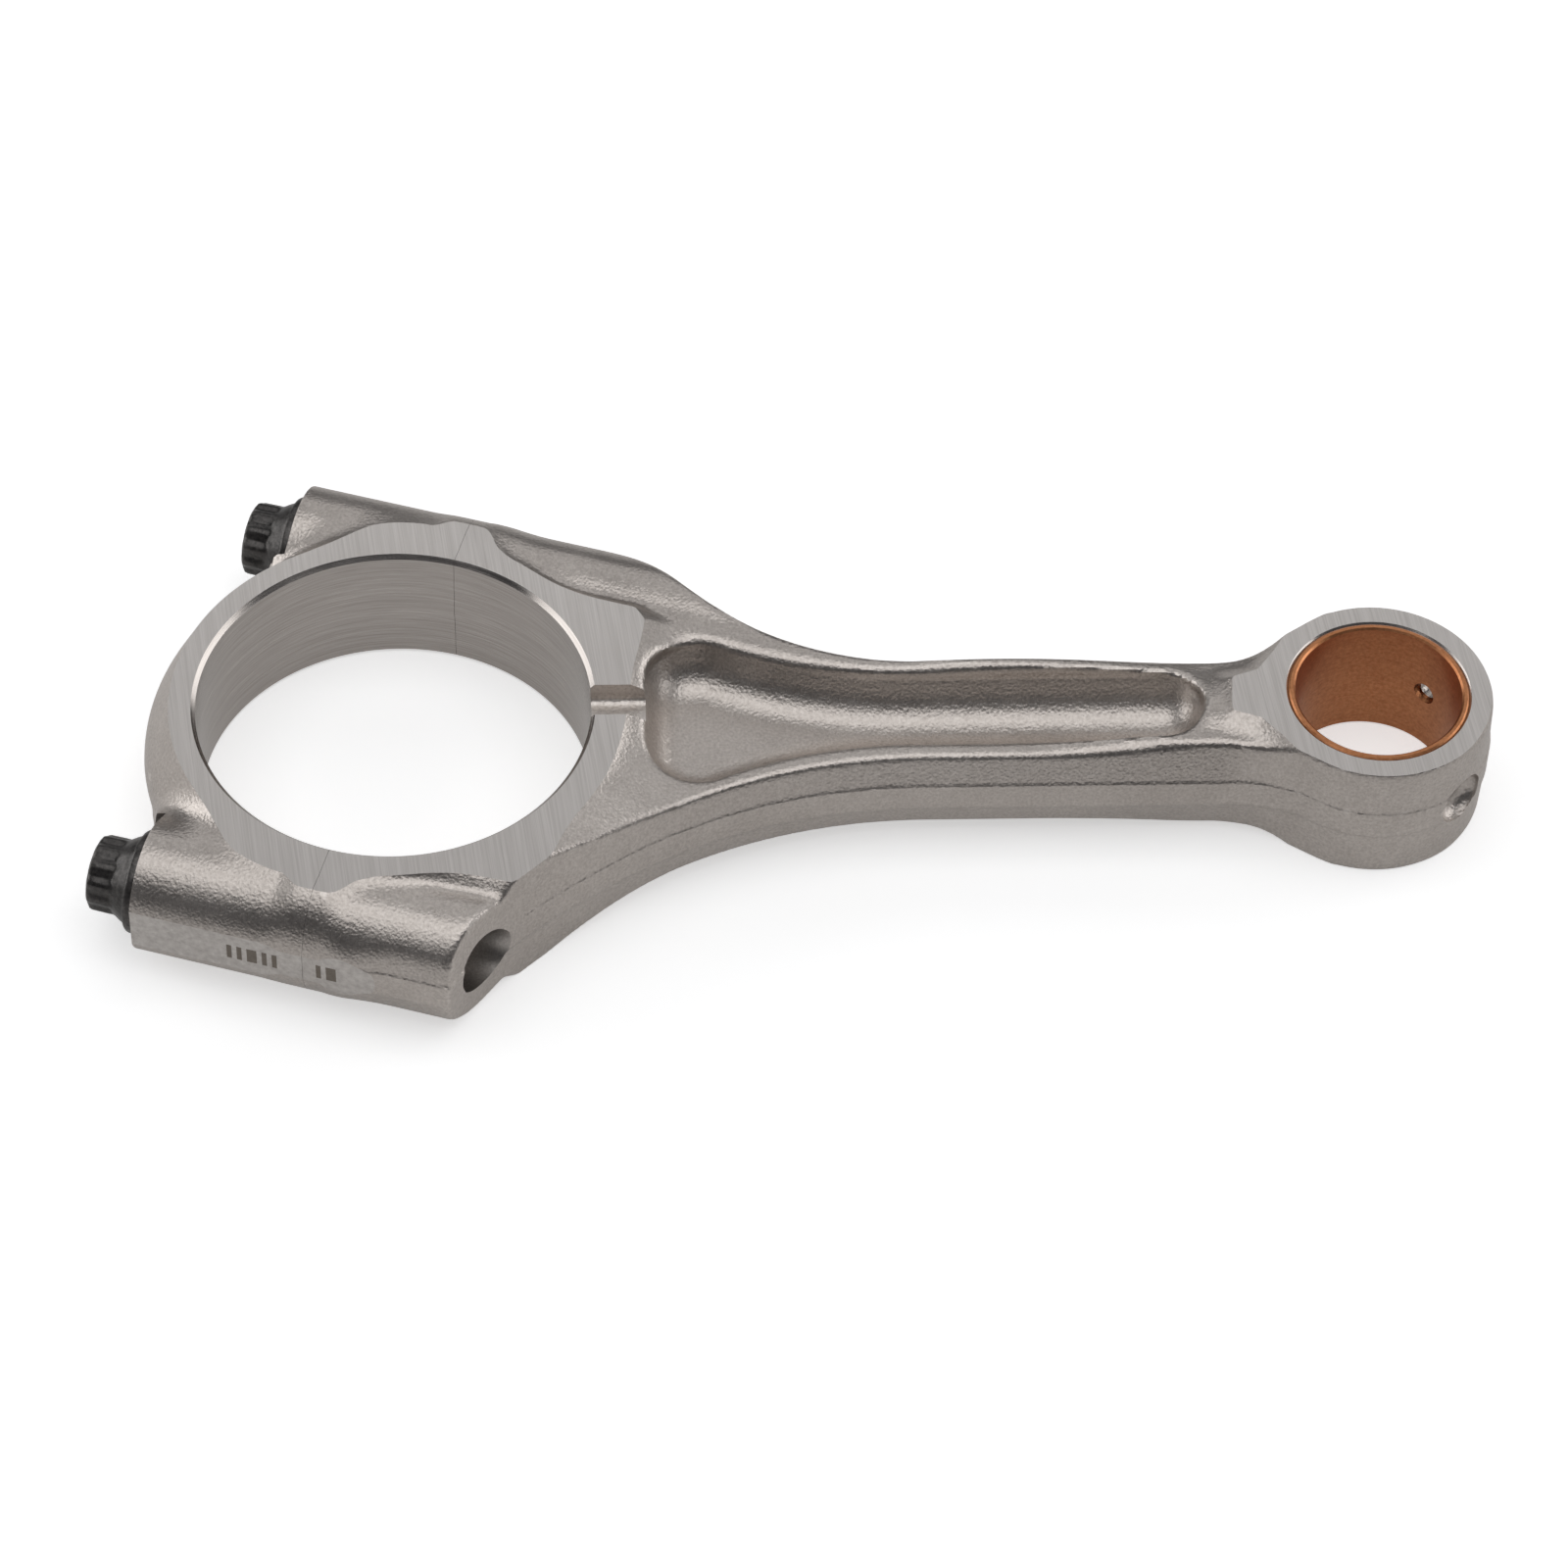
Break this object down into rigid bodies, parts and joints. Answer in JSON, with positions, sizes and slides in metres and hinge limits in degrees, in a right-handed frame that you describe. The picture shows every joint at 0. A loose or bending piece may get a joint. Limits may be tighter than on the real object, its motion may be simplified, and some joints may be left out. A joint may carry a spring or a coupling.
{
  "type": "connecting rod",
  "caption": "Forged engine connecting rod with a fracture-split bolted big-end cap, flange cap bolts and a bushed pin end.",
  "frame": {"origin": "centre of the big-end bore, half way between the thrust faces", "axes": "+X along the rod from the big-end bore to the pin bore, +Z along both bore axes, towards the thrust face with the oil slot; the rod lies flat"},
  "size_m": [0.2182, 0.1028, 0.0222],
  "materials": {
    "forged_steel": "shot-peened forging with ground faces",
    "bolt_steel": "black oxide",
    "bush_bronze": "bored bronze"
  },
  "bodies": {
    "rod": {"rod": "forged_steel", "small_end_bush": "bush_bronze"},
    "cap": {"big_end_cap": "forged_steel"},
    "bolt_near": {"cap_bolt_near": "bolt_steel"},
    "bolt_far": {"cap_bolt_far": "bolt_steel"}
  },
  "joints": [
    {"name": "cap_removal", "type": "slide", "parent": "rod", "child": "cap", "axis": [-0.9537, 0.3007, 0], "range_m": [0, 0.06]},
    {"name": "bolt_near_removal", "type": "slide", "parent": "cap", "child": "bolt_near", "axis": [-0.9537, 0.3007, 0], "range_m": [0, 0.048]},
    {"name": "bolt_far_removal", "type": "slide", "parent": "cap", "child": "bolt_far", "axis": [-0.9537, 0.3007, 0], "range_m": [0, 0.048]}
  ]
}
